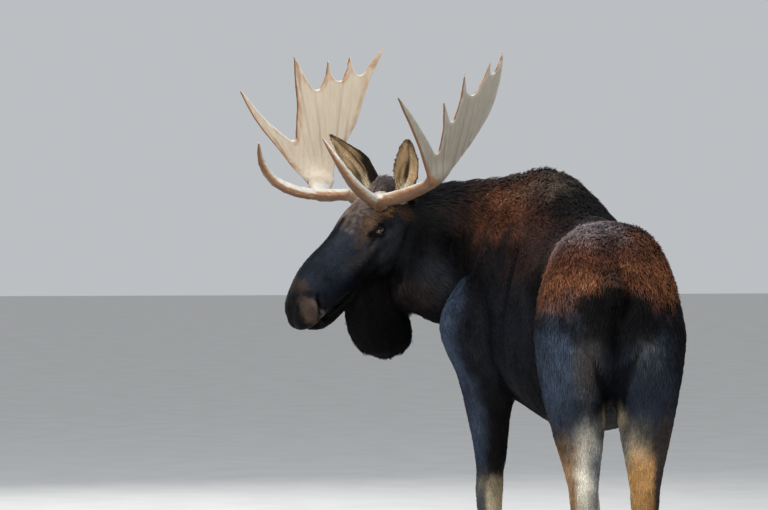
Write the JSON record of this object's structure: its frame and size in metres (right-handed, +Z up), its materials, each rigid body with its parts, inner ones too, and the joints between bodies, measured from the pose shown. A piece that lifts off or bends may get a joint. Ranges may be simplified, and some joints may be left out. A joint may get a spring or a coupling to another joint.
{
  "type": "moose",
  "caption": "Bull moose, life size, standing and looking back over its left shoulder, with palmed antlers, a bell under the throat and cloven hooves.",
  "frame": {"origin": "middle of the model's bounding box, on the floor under the soles", "axes": "+Z up; the trunk heads along -Y, the animal's left side is +X and its head is turned back towards +X"},
  "size_m": [1.5662, 2.1256, 2.3921],
  "materials": {
    "coat": "matt",
    "antler": "satin",
    "eye": "gloss",
    "hoof": "satin"
  },
  "bodies": {
    "root": {"antler_left_beam": "antler", "antler_left_brow_lower": "antler", "antler_left_brow_upper": "antler", "antler_left_palm": "antler", "antler_right_beam": "antler", "antler_right_brow_lower": "antler", "antler_right_brow_upper": "antler", "antler_right_palm": "antler", "bell": "coat", "claw_fore_left_inner": "hoof", "claw_fore_left_outer": "hoof", "claw_fore_right_inner": "hoof", "claw_fore_right_outer": "hoof", "claw_hind_left_inner": "hoof", "claw_hind_left_outer": "hoof", "claw_hind_right_inner": "hoof", "claw_hind_right_outer": "hoof", "dewclaw_fore_left_inner": "hoof", "dewclaw_fore_left_outer": "hoof", "dewclaw_fore_right_inner": "hoof", "dewclaw_fore_right_outer": "hoof", "dewclaw_hind_left_inner": "hoof", "dewclaw_hind_left_outer": "hoof", "dewclaw_hind_right_inner": "hoof", "dewclaw_hind_right_outer": "hoof", "ear_left": "coat", "ear_right": "coat", "eye_left": "eye", "eye_right": "eye", "head": "coat", "jaw": "coat", "leg_fore_left_lower": "coat", "leg_fore_left_upper": "coat", "leg_fore_right_lower": "coat", "leg_fore_right_upper": "coat", "leg_hind_left_lower": "coat", "leg_hind_left_upper": "coat", "leg_hind_right_lower": "coat", "leg_hind_right_upper": "coat", "neck": "coat", "tail": "coat", "trunk": "coat"}
  },
  "joints": []
}
